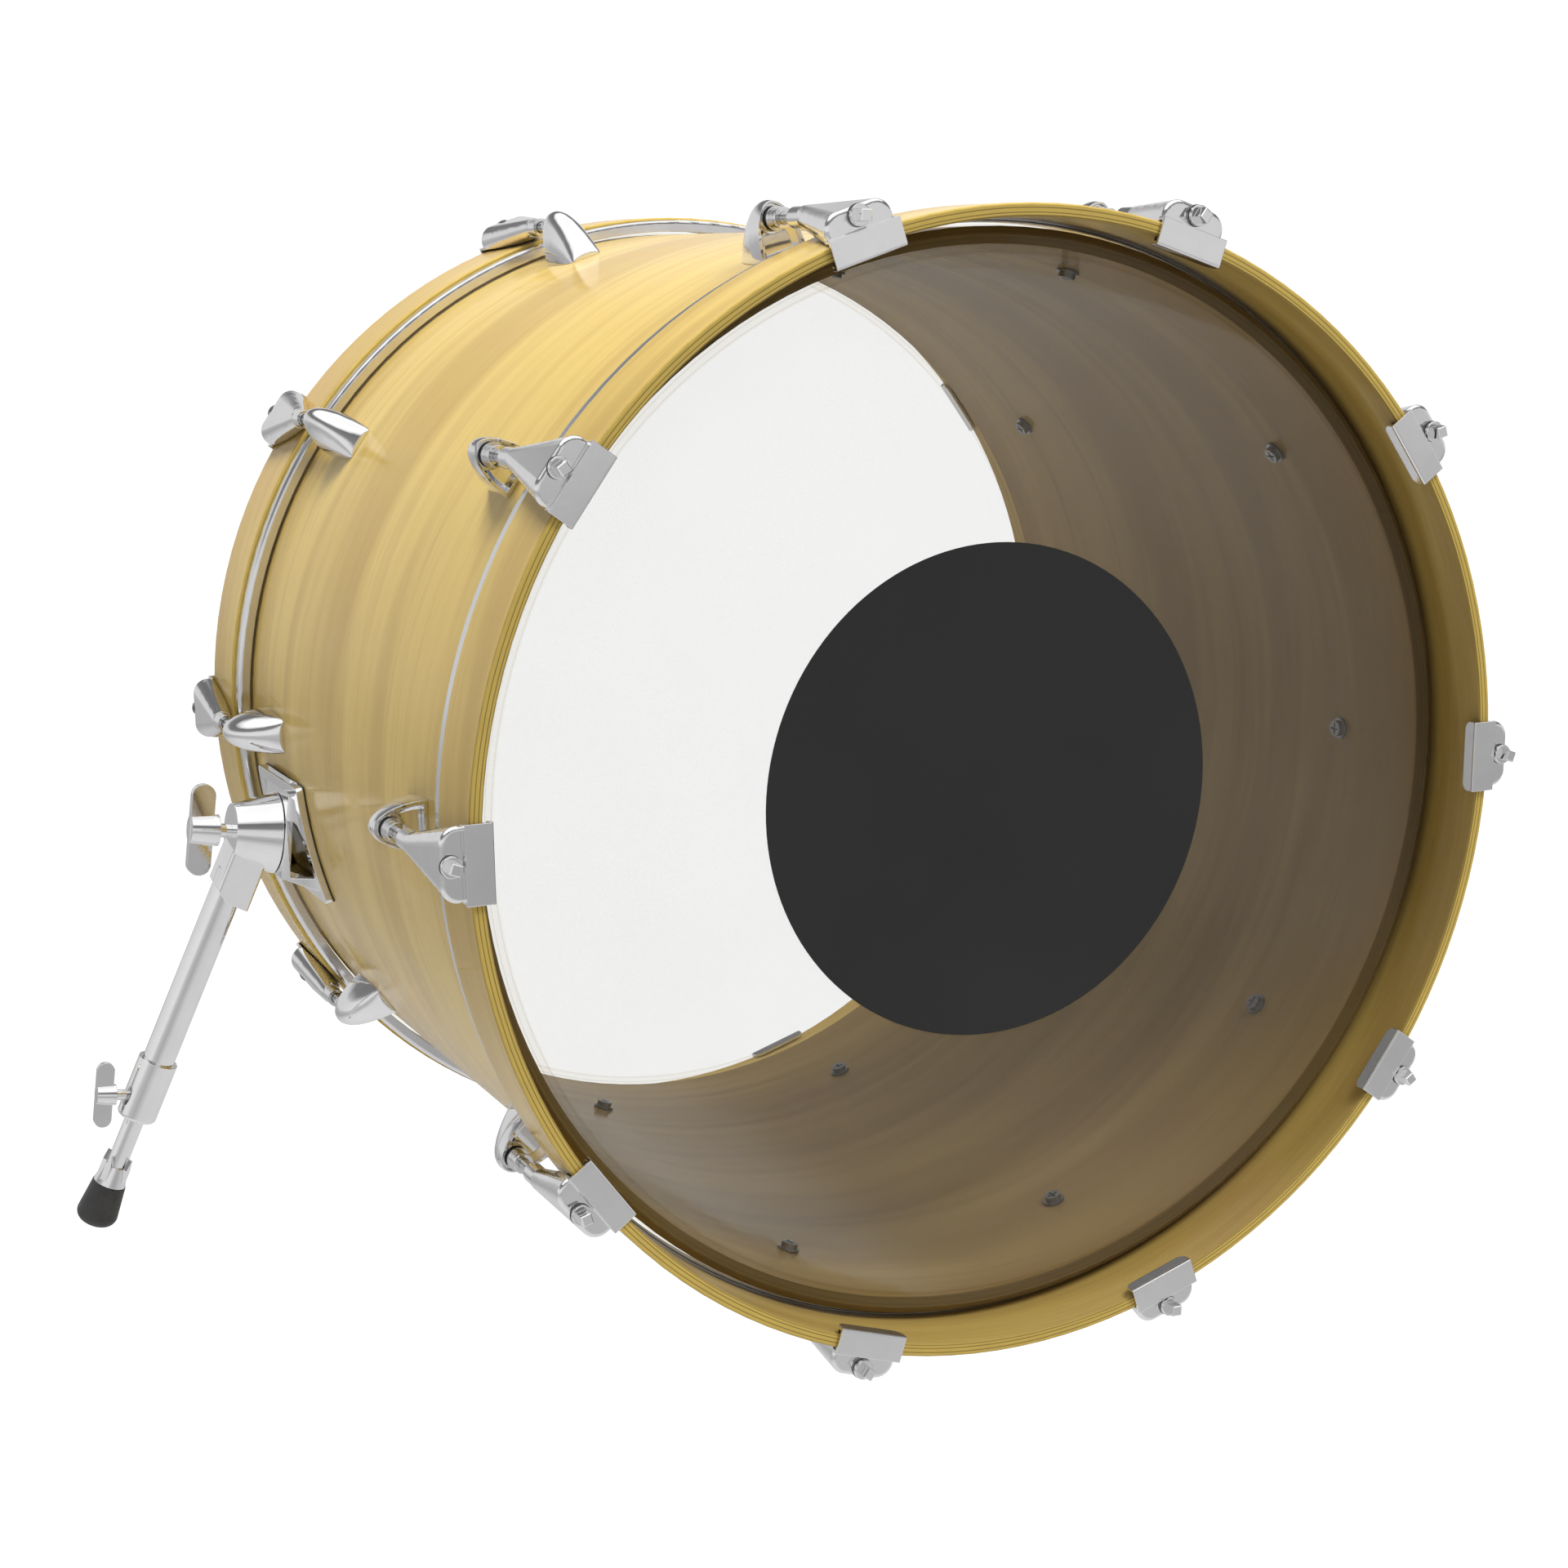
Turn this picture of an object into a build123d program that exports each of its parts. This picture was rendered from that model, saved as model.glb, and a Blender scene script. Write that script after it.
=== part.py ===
from build123d import *
from math import cos, radians, sin, sqrt
import os

# A 22 inch bass drum on its two spurs. The drum axis runs along Y, the batter head
# faces -Y, +Z is up, and the origin is on the floor under the middle of the drum.
# Everything is in millimetres.

# --- driving dimensions: drum ---------------------------------------------------
drum_length = 490.0  # front of one wood hoop to front of the other
axis_height = 292.4  # floor to drum axis: the lowest lugs just touch the floor
shell_radius = 279.4
shell_wall = 8.4
head_depth = 34.0  # front of a wood hoop to the playing face of its head
film = 0.4
dot_radius = 127.0
dot_thickness = 0.3

hoop_radius = 289.6
hoop_wall = 6.6
hoop_width = 45.0
ring_outer = 288.0  # aluminium flesh hoop of a head
ring_inner = 281.2
ring_width = 11.0
skirt_radius = 282.4  # the film's skirt, held in a groove of the flesh hoop
skirt_depth = 52.0

# --- driving dimensions: tension hardware ---------------------------------------
lug_count = 10
rod_circle = 298.1
rod_radius = 3.0
fit = 0.06  # radial running clearance of a turning screw
rod_end = 95.2  # hoop front to the end of a tension rod
claw_half = 19.0  # half the width of a claw's hook plate
claw_top = 302.7
claw_face = 1.2
neck_depth = 55.0
lug_front = 92.0
lug_height = 28.1
lug_half = 12.5
lug_length = 34.0
screw_depth = 107.0

# --- driving dimensions: spurs --------------------------------------------------
# Each spur hub turns on an axis that leaves the shell sideways and a little upward.
hub_x = 287.0
hub_y = 126.0
hub_z = 236.0
hub_tilt = 8.0
hub_length = 25.0
hub_base_radius = 23.7
hub_end_radius = 16.0
pivot_radius = 4.0
leg_top = Vector(-303.5, 126.0, 231.4)
foot_point = Vector(-400.0, 165.0, 0.0)
leg_radius = 9.2
inner_radius = 5.8
leg_fit = 0.08
clamp_radius = 11.5
clamp_screw_radius = 3.2
foot_radius = 12.1
foot_gap = 0.3
foot_corner = 7.0

os.makedirs("parts", exist_ok=True)

# In an end frame x is radial, y is tangential and z runs from the hoop's front
# face into the drum, so one model of each fitting serves both ends.
ends = {
    "batter": Plane(origin=(0, -drum_length / 2, axis_height), x_dir=(1, 0, 0), z_dir=(0, 1, 0)),
    "resonant": Plane(origin=(0, drum_length / 2, axis_height), x_dir=(1, 0, 0), z_dir=(0, -1, 0)),
}
drum_axis = Axis((0, 0, axis_height), (0, 1, 0))
rod_axis = Axis((rod_circle, 0, 0), (0, 0, 1))


def write(piece, name):
    """Names a finished piece and writes its STEP file."""
    piece.part.label = name
    export_step(piece.part, f"parts/{name}.step")


def place(piece, name, frames, count=1, start=0.0):
    """Sets copies of a fitting round the drum in the given end frames and writes them."""
    with BuildPart(*frames) as placed:
        with PolarLocations(0, count, start_angle=start):
            add(piece.part, clean=False)
    write(placed, name)


both_ends = list(ends.values())

# --- shell ----------------------------------------------------------------------
# Maple tube with a bearing edge at each end: a 45 degree cut inside and a sloped
# outer shoulder under the head's collar.
shell_half = drum_length / 2 - head_depth - film
shell_inner = shell_radius - shell_wall
crest = shell_inner + 4.2
shoulder = 3.2

# one radial clearance hole for a lug screw
with BuildPart() as screw_hole:
    with BuildSketch(Plane(origin=(shell_inner - 4, 0, screw_depth), z_dir=(1, 0, 0))):
        Circle(2.65)
    extrude(amount=shell_wall + 8)
with BuildPart(*both_ends) as screw_holes:
    with PolarLocations(0, lug_count):
        add(screw_hole.part, clean=False)

# The bracket screws run radially too: each is an angle below the drum axis and a
# distance either side of the hub.
bracket_screw_places = [(6.3, 39.3), (17.4, 39.3)]
bracket_screw_planes = []
for below, beside in bracket_screw_places:
    for direction in (-1, 1):
        outward = Vector(-cos(radians(below)), 0, -sin(radians(below)))
        seat = Vector(0, hub_y + direction * beside, axis_height) + outward * shell_inner
        bracket_screw_planes.append(Plane(origin=seat, z_dir=outward))

with BuildPart() as shell:
    with BuildSketch(Plane.XY.offset(axis_height)):
        with BuildLine():
            Polyline(
                (shell_inner, -shell_half + 4.0),
                (crest, -shell_half),
                (crest + 0.2, -shell_half),
                (shell_radius, -shell_half + shoulder),
                (shell_radius, shell_half - shoulder),
                (crest + 0.2, shell_half),
                (crest, shell_half),
                (shell_inner, shell_half - 4.0),
                close=True,
            )
        make_face()
    revolve(axis=drum_axis)
    add(screw_holes.part, mode=Mode.SUBTRACT)
    for seat in bracket_screw_planes:
        with BuildSketch(seat.offset(-2)):
            Circle(2.65)
        extrude(amount=shell_wall + 4, mode=Mode.SUBTRACT)
        mirrored = Plane(
            origin=(-seat.origin.X, seat.origin.Y, seat.origin.Z),
            z_dir=(-seat.z_dir.X, 0, seat.z_dir.Z),
        )
        with BuildSketch(mirrored.offset(-2)):
            Circle(2.65)
        extrude(amount=shell_wall + 4, mode=Mode.SUBTRACT)
write(shell, "shell")

# --- wood hoops -----------------------------------------------------------------
with BuildPart() as hoop:
    with BuildSketch(Plane.XZ):
        with Locations((hoop_radius - hoop_wall / 2, hoop_width / 2)):
            RectangleRounded(hoop_wall, hoop_width, 1.2)
    revolve(axis=Axis.Z)

# --- flesh hoop: aluminium ring with a groove that grips the film's skirt -------
with BuildPart() as flesh_hoop:
    with BuildSketch(Plane.XZ):
        middle = ((ring_inner + ring_outer) / 2, hoop_width + ring_width / 2)
        with Locations(middle):
            Rectangle(ring_outer - ring_inner, ring_width)
        groove_length = skirt_depth - hoop_width
        with Locations((skirt_radius - film / 2, hoop_width + groove_length / 2)):
            Rectangle(film, groove_length, mode=Mode.SUBTRACT)
    revolve(axis=Axis.Z)
    rear_rim = flesh_hoop.edges().filter_by(GeomType.CIRCLE).group_by(Axis.Z)[-1].sort_by(SortBy.RADIUS)[-1]
    fillet(rear_rim, radius=2.2)

# --- head: a flat membrane, and its collar over the bearing edge with the skirt --
with BuildPart() as head:
    with BuildSketch(Plane.XZ):
        with BuildLine():
            Polyline(
                (crest, head_depth),
                (crest + 0.4, head_depth),
                (shell_radius + 0.6, head_depth + 2.6),
                (skirt_radius - 0.8, head_depth + 6.2),
                (skirt_radius, hoop_width),
                (skirt_radius, skirt_depth),
                (skirt_radius - film, skirt_depth),
                (skirt_radius - film, hoop_width),
                (skirt_radius - 1.2, head_depth + 6.3),
                (shell_radius + 0.3, head_depth + 3.0),
                (crest + 0.2, head_depth + film),
                (crest, head_depth + film),
                close=True,
            )
        make_face()
    revolve(axis=Axis.Z)
    # the flat membrane, a hair clear of the collar so that each is a simple solid
    with BuildSketch(Plane.XY.offset(head_depth)):
        Circle(crest - 0.02)
    extrude(amount=film)

# --- centre dot -----------------------------------------------------------------
with BuildPart() as dot:
    with BuildSketch(Plane.XY.offset(head_depth - dot_thickness)):
        Circle(dot_radius)
    extrude(amount=dot_thickness)

# --- claw -----------------------------------------------------------------------
# A hook plate lies over the hoop's front and folds inside it. Outside the hoop a
# hollow hood narrows to a round neck that guides the tension rod.
plate_front = -2.2
plate_thick = 1.6
plate_outer = 291.8
hood_base = 290.4
lip_depth = 6.0

def make_claw(plate_inner):
    """A claw whose hook reaches in to the given radius."""
    with BuildPart() as claw:
        with BuildSketch(Plane.XY.offset(claw_face)):
            with Locations((claw_top - 9.5, 0)):
                RectangleRounded(19, 2 * claw_half - 1, 9)
        with BuildSketch(Plane.XY.offset(neck_depth)):
            with Locations((rod_circle, 0)):
                RectangleRounded(11.4, 11.4, 5.6)
        loft()
        fillet(claw.edges().group_by(Axis.Z)[0], radius=2.0)
        with BuildSketch(Plane.XY.offset(claw_face + 3)):
            with Locations((claw_top - 10.5, 0)):
                RectangleRounded(16.6, 2 * claw_half - 5.4, 7)
        with BuildSketch(Plane.XY.offset(neck_depth - 8)):
            with Locations((rod_circle, 0)):
                RectangleRounded(8.8, 8.8, 4.3)
        loft(mode=Mode.SUBTRACT)
        with BuildSketch(Plane.XY.offset(claw_face - 1)):
            with Locations((hood_base - 10, 0)):
                Rectangle(20, 60)
        extrude(amount=neck_depth, mode=Mode.SUBTRACT)
        # step between the hook plate and the hood's front wall
        with BuildSketch(Plane.XY.offset(plate_front)):
            with Locations(((hood_base + plate_outer) / 2, 0)):
                Rectangle(plate_outer - hood_base, 2 * claw_half - 1.4)
        extrude(amount=claw_face + 3 - plate_front)
        # hook plate and its folded lip
        with BuildSketch(Plane.XY.offset(plate_front)):
            with Locations(((plate_inner + plate_outer) / 2, 0)):
                Rectangle(plate_outer - plate_inner, 2 * claw_half)
        extrude(amount=plate_thick)
        with BuildSketch(Plane.YZ.offset(plate_inner)):
            with Locations((0, plate_front)):
                RectangleRounded(2 * claw_half, 2 * (lip_depth - plate_front), 4.5)
            with Locations((0, plate_front - 10)):
                Rectangle(60, 20, mode=Mode.SUBTRACT)
        extrude(amount=1.8)
        bend = claw.edges().filter_by(Axis.Y).group_by(Axis.Z)[0].sort_by(Axis.X)[0]
        fillet(bend, radius=1.2)
        # rod hole: wide in the front wall, a running fit in the neck
        with BuildSketch(Plane.XY.offset(claw_face - 0.5)):
            with Locations((rod_circle, 0)):
                Circle(rod_radius + 0.5)
        extrude(amount=neck_depth - 8, mode=Mode.SUBTRACT)
        with BuildSketch(Plane.XY.offset(neck_depth - 9)):
            with Locations((rod_circle, 0)):
                Circle(rod_radius + fit)
        extrude(amount=10, mode=Mode.SUBTRACT)
    return claw


claw = make_claw(277.8)
short_claw = make_claw(280.3)  # on the front head, where the hook lies close to the hoop

# --- claw pad: rubber liner between claw and hoop -------------------------------
hoop_inner = hoop_radius - hoop_wall
pad_front = plate_front + plate_thick
with BuildPart() as claw_pad:
    with BuildSketch(Plane.XZ):
        with BuildLine():
            Polyline(
                (279.6, pad_front),
                (hoop_radius - 0.2, pad_front),
                (hoop_radius - 0.2, 0),
                (hoop_inner - 0.7, 0),
                (hoop_inner - 0.7, lip_depth - 1),
                (279.6, lip_depth - 1),
                close=True,
            )
        make_face()
    extrude(amount=claw_half - 2, both=True)
with BuildPart() as short_claw_pad:
    with BuildSketch(Plane.XZ):
        with Locations(((hoop_inner + hoop_radius) / 2, pad_front / 2)):
            Rectangle(hoop_wall - 0.4, -pad_front)
    extrude(amount=claw_half - 2, both=True)

# --- small turned pieces on a tension rod ---------------------------------------
# Each is (outer radius, bore radius, start depth, end depth).
nylon_washer_size = (4.9, rod_radius + 0.4, 0.0, 0.5)
steel_washer_size = (5.4, rod_radius + 0.4, 0.5, claw_face)
sleeve_size = (5.3, rod_radius + 0.4, neck_depth, 67.0)
nut_ring_size = (6.0, 4.4, 88.6, 90.4)
nut_seat_size = (6.4, 4.4, 92.4, 94.0)


def ring_on_rod(outer, bore, begin, end):
    """A washer or sleeve round a tension rod, in the end frame."""
    with BuildPart() as ring:
        with BuildSketch(Plane.XY.offset(begin)):
            with Locations((rod_circle, 0)):
                Circle(outer)
                Circle(bore, mode=Mode.SUBTRACT)
        extrude(amount=end - begin)
    return ring


nylon_washer = ring_on_rod(*nylon_washer_size)
steel_washer = ring_on_rod(*steel_washer_size)
sleeve = ring_on_rod(*sleeve_size)

# rubber ring and seat ring that hold a swivel nut in its lug
with BuildPart() as nut_rings:
    add(ring_on_rod(*nut_ring_size).part)
    add(ring_on_rod(*nut_seat_size).part)

# --- swivel nut: flanged barrel, threaded for the rod ---------------------------
nut_front = 80.5
nut_end = 96.0
with BuildPart() as swivel_nut:
    with BuildSketch(Plane.XZ):
        with BuildLine():
            Polyline(
                (rod_circle + rod_radius + fit, nut_front),
                (rod_circle + 5.2, nut_front),
                (rod_circle + 5.2, nut_front + 1.6),
                (rod_circle + 4.4, nut_front + 1.6),
                (rod_circle + 4.4, nut_end),
                (rod_circle + rod_radius + fit, nut_end),
                close=True,
            )
        make_face()
    revolve(axis=rod_axis)

# --- tension rod: square drive, flange and long shank ---------------------------
flange_back = -0.1
flange_front = -2.1
drive_side = 5.5
drive_length = 6.5
with BuildPart() as rod:
    with BuildSketch(Plane.XY.offset(flange_front)):
        with Locations((rod_circle, 0)):
            Circle(5.2)
    extrude(amount=flange_back - flange_front)
    rim = rod.edges().group_by(Axis.Z)[0]
    fillet(rim, radius=0.5)
    with BuildSketch(Plane.XY.offset(flange_front - drive_length)):
        with Locations((rod_circle, 0)):
            Rectangle(drive_side, drive_side, rotation=20)
    extrude(amount=drive_length)
    chamfer(rod.edges().group_by(Axis.Z)[0], length=0.5)
    with BuildSketch(Plane.XY.offset(flange_back)):
        with Locations((rod_circle, 0)):
            Circle(rod_radius)
    extrude(amount=rod_end - flange_back)
    chamfer(rod.edges().group_by(Axis.Z)[-1], length=0.5)

# --- lug ------------------------------------------------------------------------
# A half-egg casting, open towards the hoop, that sits on the shell. A tapering
# valley down its back splits the tail into two lobes.
lug_base = shell_radius - 0.8
valley_top = Vector(309.5, 0, 95.5)
valley_floor = Vector(shell_radius, 0, 114.0)
valley_half_angle = 12.0
valley_reach = 50.0
bowl_step = 3.0
# (share of the length, share of the height, share of the half width)
lug_profile = [
    (0.0, 1.0, 1.0),
    (0.22, 1.01, 1.02),
    (0.45, 0.92, 0.98),
    (0.68, 0.7, 0.91),
    (0.86, 0.42, 0.83),
    (1.0, 0.12, 0.73),
]
valley_line = (valley_floor - valley_top).normalized()
valley_dir = valley_line.rotate(Axis.Y, -valley_half_angle)
with BuildPart() as lug:
    for along, high, wide in lug_profile:
        with BuildSketch(Plane.XY.offset(lug_front + along * lug_length)):
            with BuildLine():
                arc = EllipticalCenterArc((lug_base, 0), lug_height * high, lug_half * wide, -90, arc_size=180)
                Line(arc @ 1, arc @ 0)
            make_face()
    loft()
    # the valley is a slender cone with its point near the rim
    with BuildSketch(Plane(origin=valley_top, z_dir=valley_dir)):
        Circle(0.3)
    with BuildSketch(Plane(origin=valley_top + valley_dir * valley_reach, z_dir=valley_dir)):
        Circle(valley_reach * 0.2126)
    loft(mode=Mode.SUBTRACT)
    # shallow bowl behind the open face
    for begin, wide_end, narrow_end in ((-1.0, 1.0, 1.0), (2.0, 1.0, 0.72)):
        for step, share in ((0.0, wide_end), (1.0, narrow_end)):
            with BuildSketch(Plane.XY.offset(lug_front + begin + step * bowl_step)):
                with BuildLine():
                    bowl = EllipticalCenterArc(
                        (shell_radius + 2, 0),
                        (lug_height - 3.9) * share,
                        (lug_half - 2.1) * share,
                        -90,
                        arc_size=180,
                    )
                    Line(bowl @ 1, bowl @ 0)
                make_face()
        loft(mode=Mode.SUBTRACT)
    # seat for the swivel nut
    with BuildSketch(Plane.XY.offset(94.0)):
        with Locations((rod_circle, 0)):
            Circle(7.4)
    extrude(amount=2.0)
    with BuildSketch(Plane.XY.offset(lug_front)):
        with Locations((rod_circle, 0)):
            Circle(4.4)
    extrude(amount=nut_end - lug_front + 0.4, mode=Mode.SUBTRACT)
    # blind hole for the fixing screw
    with BuildSketch(Plane(origin=(shell_radius - 2, 0, screw_depth), z_dir=(1, 0, 0))):
        Circle(2.5)
    extrude(amount=8, mode=Mode.SUBTRACT)
    # the foot follows the shell
    with BuildSketch(Plane.XY.offset(80)):
        Circle(shell_radius)
    extrude(amount=60, mode=Mode.SUBTRACT)

# --- lug screw: flanged pan head inside the shell -------------------------------
with BuildPart() as lug_screw:
    with BuildSketch(Plane(origin=(shell_inner - 0.5, 0, screw_depth), z_dir=(-1, 0, 0))):
        Circle(6.0)
    extrude(amount=1.2)
    with BuildSketch(Plane(origin=(shell_inner - 1.7, 0, screw_depth), z_dir=(-1, 0, 0))):
        Circle(4.5)
    extrude(amount=2.8)
    with BuildSketch(Plane(origin=(shell_inner - 4.5, 0, screw_depth), z_dir=(1, 0, 0))):
        Rectangle(6.4, 1.1)
        Rectangle(1.1, 6.4)
    extrude(amount=1.4, mode=Mode.SUBTRACT)
    with BuildSketch(Plane(origin=(shell_inner - 0.5, 0, screw_depth), z_dir=(1, 0, 0))):
        Circle(2.5)
    extrude(amount=shell_wall + 6)

# --- the fittings set round both ends -------------------------------------------
for end, frame in ends.items():
    place(hoop, f"{end}_hoop", [frame])
    place(head, f"{end}_head", [frame])
    place(flesh_hoop, f"{end}_flesh_hoop", [frame])
    place(claw if end == "batter" else short_claw, f"{end}_claws", [frame], lug_count)
    place(lug, f"{end}_lugs", [frame], lug_count)
    for number in range(lug_count):
        place(rod, f"{end}_rod_{number + 1:02d}", [frame], start=number * 360 / lug_count)
place(dot, "batter_dot", [ends["batter"]])
with BuildPart(ends["batter"]) as batter_pads:
    with PolarLocations(0, lug_count):
        add(claw_pad.part, clean=False)
with BuildPart(ends["resonant"]) as resonant_pads:
    with PolarLocations(0, lug_count):
        add(short_claw_pad.part, clean=False)
with BuildPart() as claw_pads:
    add(batter_pads.part, clean=False)
    add(resonant_pads.part, clean=False)
write(claw_pads, "claw_pads")
place(nylon_washer, "rod_nylon_washers", both_ends, lug_count)
place(steel_washer, "rod_steel_washers", both_ends, lug_count)
place(sleeve, "claw_sleeves", both_ends, lug_count)
place(nut_rings, "swivel_nut_rings", both_ends, lug_count)
place(swivel_nut, "swivel_nuts", both_ends, lug_count)
place(lug_screw, "lug_screws", both_ends, lug_count)

# --- spurs ----------------------------------------------------------------------
# The left spur is modelled in place; the right one is its mirror image. In the hub
# plane x is along the drum, y is down and z points out along the pivot bolt.
outward = Vector(-cos(radians(hub_tilt)), 0, sin(radians(hub_tilt)))
hub_plane = Plane(origin=(-hub_x, hub_y, hub_z), x_dir=(0, 1, 0), z_dir=outward)
leg_vector = foot_point - leg_top
leg_length = leg_vector.length
leg_plane = Plane(origin=leg_top, x_dir=(0, 1, 0), z_dir=leg_vector)
leg_axis = Axis(leg_top, leg_vector)
cos_lean = -leg_vector.Z / leg_length
sin_lean = sqrt(1 - cos_lean * cos_lean)


def both_sides(piece, name):
    """Writes the left piece and its mirror image as two nodes."""
    write(piece, f"left_{name}")
    with BuildPart() as other:
        add(piece.part)
        mirror(about=Plane.YZ, mode=Mode.REPLACE)
    write(other, f"right_{name}")


def one_node(piece, name):
    """Writes the left piece and its mirror image as one node."""
    with BuildPart() as pair:
        add(piece.part, clean=False)
        mirror(about=Plane.YZ)
    write(pair, name)


# bracket: a hollow truncated pyramid standing on a flat frame that follows the
# shell, open at its front and back
face_size = (48.0, 58.0)
face_drop = -6.4  # the face sits a little above the hub axis
base_size = (86.0, 70.0)
base_drop_angle = 11.9  # the middle of the base, below the drum axis
gasket_thick = 1.0
frame_thick = 4.0
base_out = Vector(-cos(radians(base_drop_angle)), 0, -sin(radians(base_drop_angle)))
base_middle = Vector(0, hub_y, axis_height) + base_out * shell_radius
base_plane = Plane(origin=base_middle, x_dir=(0, 1, 0), z_dir=base_out)


def drum_tube(outer, inner):
    """A length of tube round the drum axis, beside the spurs."""
    with BuildPart() as tube:
        with BuildSketch(Plane.XZ.offset(-hub_y - 80)):
            with Locations((0, axis_height)):
                Circle(outer)
                Circle(inner, mode=Mode.SUBTRACT)
        extrude(amount=160)
    return tube.part


with BuildPart() as base_frame:
    with BuildSketch(base_plane.offset(-12)):
        RectangleRounded(*base_size, 3)
        Rectangle(base_size[0] - 15, base_size[1] - 15, mode=Mode.SUBTRACT)
    extrude(amount=24)
    ring = drum_tube(shell_radius + gasket_thick + frame_thick, shell_radius + gasket_thick)
    add(ring, mode=Mode.INTERSECT)
with BuildPart() as bracket:
    with BuildSketch(hub_plane.offset(-0.4)):
        with Locations((0, face_drop)):
            Rectangle(*face_size)
    with BuildSketch(base_plane.offset(-4)):
        Rectangle(base_size[0] - 6, base_size[1] - 4)
    loft()
    with BuildSketch(hub_plane.offset(-4.2)):
        with Locations((0, face_drop)):
            Rectangle(face_size[0] - 9, face_size[1] - 9)
    with BuildSketch(base_plane.offset(-4.1)):
        Rectangle(base_size[0] - 15, base_size[1] - 14)
    loft(mode=Mode.SUBTRACT)
    # a window in each side wall
    for side_y in (-60, 21):
        with BuildSketch(Plane.XZ.offset(-hub_y - side_y)):
            with BuildLine():
                Polyline(
                    (-hub_x + 2.0, 214.0),
                    (-hub_x + 2.0, 247.0),
                    (-hub_x + 6.0, 247.0),
                    (-hub_x + 16.5, 214.0),
                    close=True,
                )
            make_face()
        extrude(amount=-39, mode=Mode.SUBTRACT)
    add(base_frame.part)
    add(drum_tube(shell_radius + gasket_thick, 240), mode=Mode.SUBTRACT)
    with BuildSketch(hub_plane.offset(1)):
        Circle(pivot_radius + fit)
    extrude(amount=-8, mode=Mode.SUBTRACT)
    for seat in bracket_screw_planes:
        with BuildSketch(seat):
            Circle(2.5)
        extrude(amount=shell_wall + 4.0, mode=Mode.SUBTRACT)
both_sides(bracket, "spur_bracket")

with BuildPart() as gasket:
    with BuildSketch(base_plane.offset(-12)):
        RectangleRounded(*base_size, 3)
        Rectangle(base_size[0] - 15, base_size[1] - 15, mode=Mode.SUBTRACT)
    extrude(amount=24)
    add(drum_tube(shell_radius + gasket_thick, shell_radius), mode=Mode.INTERSECT)
    for seat in bracket_screw_planes:
        with BuildSketch(seat):
            Circle(2.65)
        extrude(amount=shell_wall + 3, mode=Mode.SUBTRACT)
one_node(gasket, "spur_gaskets")

with BuildPart() as bracket_screws:
    for seat in bracket_screw_planes:
        with BuildSketch(seat.offset(-0.5)):
            Circle(5.5)
        extrude(amount=-3.2)
        with BuildSketch(seat.offset(-0.5)):
            Circle(2.5)
        extrude(amount=shell_wall + 4.2)
one_node(bracket_screws, "spur_bracket_screws")

# square nut of the pivot bolt, in the hollow of the bracket
with BuildPart() as pivot_nut:
    with BuildSketch(hub_plane.offset(-4.2)):
        Rectangle(14, 14)
        Circle(pivot_radius + fit, mode=Mode.SUBTRACT)
    extrude(amount=-5)
one_node(pivot_nut, "spur_pivot_nuts")

# hub: a tapered drum on the pivot, with the block that holds the leg
block_end = 36.0
block_inner = 12.5  # leg axis to the block's face on the drum's side
block_outer = 8.9  # leg axis to its outer face, flush with the hub's end
block_half = 12.5
sideways = (outward - leg_plane.z_dir * outward.dot(leg_plane.z_dir)).normalized()
block_plane = Plane(origin=leg_top, x_dir=leg_plane.z_dir, z_dir=leg_plane.z_dir.cross(sideways))
with BuildPart() as hub:
    with BuildSketch(block_plane.offset(-block_half)):
        with BuildLine():
            Polyline(
                (block_end, -block_inner),
                (block_end - 1.5, 2.0),
                (block_end - 8.0, block_outer),
                (-8.0, block_outer),
                (-8.0, -block_inner),
                close=True,
            )
        make_face()
    extrude(amount=2 * block_half)
    fillet(hub.edges().filter_by(leg_axis), radius=2.0)
    with BuildSketch(hub_plane):
        Rectangle(120, 160)
    extrude(amount=-30, mode=Mode.SUBTRACT)
    with BuildSketch(hub_plane):
        Circle(hub_base_radius)
    with BuildSketch(hub_plane.offset(hub_length)):
        Circle(hub_end_radius)
    loft()
    with BuildSketch(hub_plane):
        Circle(pivot_radius + fit)
    extrude(amount=hub_length + 20, mode=Mode.SUBTRACT)
    with BuildSketch(leg_plane.offset(18)):
        Circle(leg_radius)
    extrude(amount=60, mode=Mode.SUBTRACT)
both_sides(hub, "spur_hub")


def wing_bolt(axis_plane, shank, shank_start, neck_end, knob, knob_length, span, blade, thickness):
    """A bolt with a round knob and a flat two-winged blade across its outer end."""
    with BuildPart() as bolt:
        with BuildSketch(axis_plane.offset(shank_start)):
            Circle(shank)
        extrude(amount=neck_end - shank_start)
        with BuildSketch(axis_plane.offset(neck_end)):
            Circle(knob)
        with BuildSketch(axis_plane.offset(neck_end + knob_length)):
            Circle(knob * 0.85)
        loft()
        across = Plane(
            origin=axis_plane.origin + axis_plane.z_dir * (neck_end + knob_length * 0.6),
            x_dir=axis_plane.z_dir,
            z_dir=axis_plane.x_dir,
        )
        with BuildSketch(across.offset(-thickness / 2)):
            RectangleRounded(blade, span, blade / 2 - 0.2)
        extrude(amount=thickness)
    return bolt


pivot_bolt = wing_bolt(hub_plane, pivot_radius, -10.0, hub_length + 7.5, 9.2, 16.0, 53.0, 13.5, 5.0)
both_sides(pivot_bolt, "spur_wing_bolt")

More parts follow.
